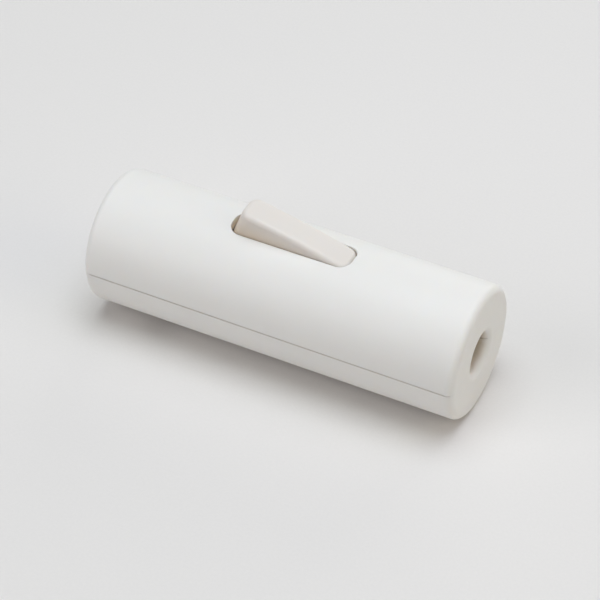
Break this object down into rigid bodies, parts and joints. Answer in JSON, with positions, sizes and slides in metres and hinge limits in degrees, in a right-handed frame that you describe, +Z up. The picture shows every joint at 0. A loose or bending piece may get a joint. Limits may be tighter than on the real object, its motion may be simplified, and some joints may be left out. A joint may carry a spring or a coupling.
{
  "type": "inline cord switch",
  "caption": "Tube-shaped inline rocker switch for a flexible cord, with a split housing, a rocker on top, a seesaw contact, brass terminals and cord clamps inside.",
  "frame": {"origin": "under the middle of the tube, on the line where it rests", "axes": "+X along the tube towards the end whose side of the rocker is pressed in, +Z up through the rocker"},
  "size_m": [0.076, 0.026, 0.0305],
  "materials": {
    "shell_plastic": "fine matte white moulding",
    "rocker_plastic": "smooth warm white moulding",
    "carrier_plastic": "grey moulding",
    "plunger_plastic": "natural nylon",
    "brass": "plain stamped brass",
    "screw_steel": "zinc plated",
    "spring_steel": "bright drawn wire",
    "contact_silver": "satin silver"
  },
  "bodies": {
    "housing": {"upper_shell": "shell_plastic", "lower_shell": "shell_plastic", "housing_screws": "screw_steel", "contact_carrier": "carrier_plastic", "carrier_screws": "screw_steel", "seesaw_pin": "screw_steel", "fixed_contact": "contact_silver", "pivot_bracket": "brass", "bracket_rivet": "brass", "line_terminal": "brass", "load_terminal": "brass", "neutral_link": "brass", "earth_link": "brass", "terminal_screws": "screw_steel", "cord_clamp_left": "carrier_plastic", "cord_clamp_right": "carrier_plastic", "cord_clamp_screws": "screw_steel"},
    "rocker": {"rocker": "rocker_plastic", "plunger_spring": "spring_steel"},
    "plunger": {"plunger": "plunger_plastic"},
    "seesaw": {"contact_seesaw": "brass", "moving_contact": "contact_silver"}
  },
  "joints": [
    {"name": "rocker_swing", "type": "hinge", "parent": "housing", "child": "rocker", "pos_m": [0, 0, 0.0229], "axis": [0, -1, 0], "range_deg": [0, 28]},
    {"name": "plunger_slide", "type": "slide", "parent": "rocker", "child": "plunger", "axis": [0.2419, 0, 0.9703], "range_m": [0, 0.0006], "stiffness_N_per_m": 400, "springref_m": -0.002, "deforming": ["plunger_spring"]},
    {"name": "seesaw_swing", "type": "hinge", "parent": "housing", "child": "seesaw", "pos_m": [0, 0, 0.0146], "axis": [0, 1, 0], "range_deg": [0, 12]}
  ],
  "couplings": [
    {"joint": "seesaw_swing", "follows": "rocker_swing", "ratio": 0.42857}
  ]
}
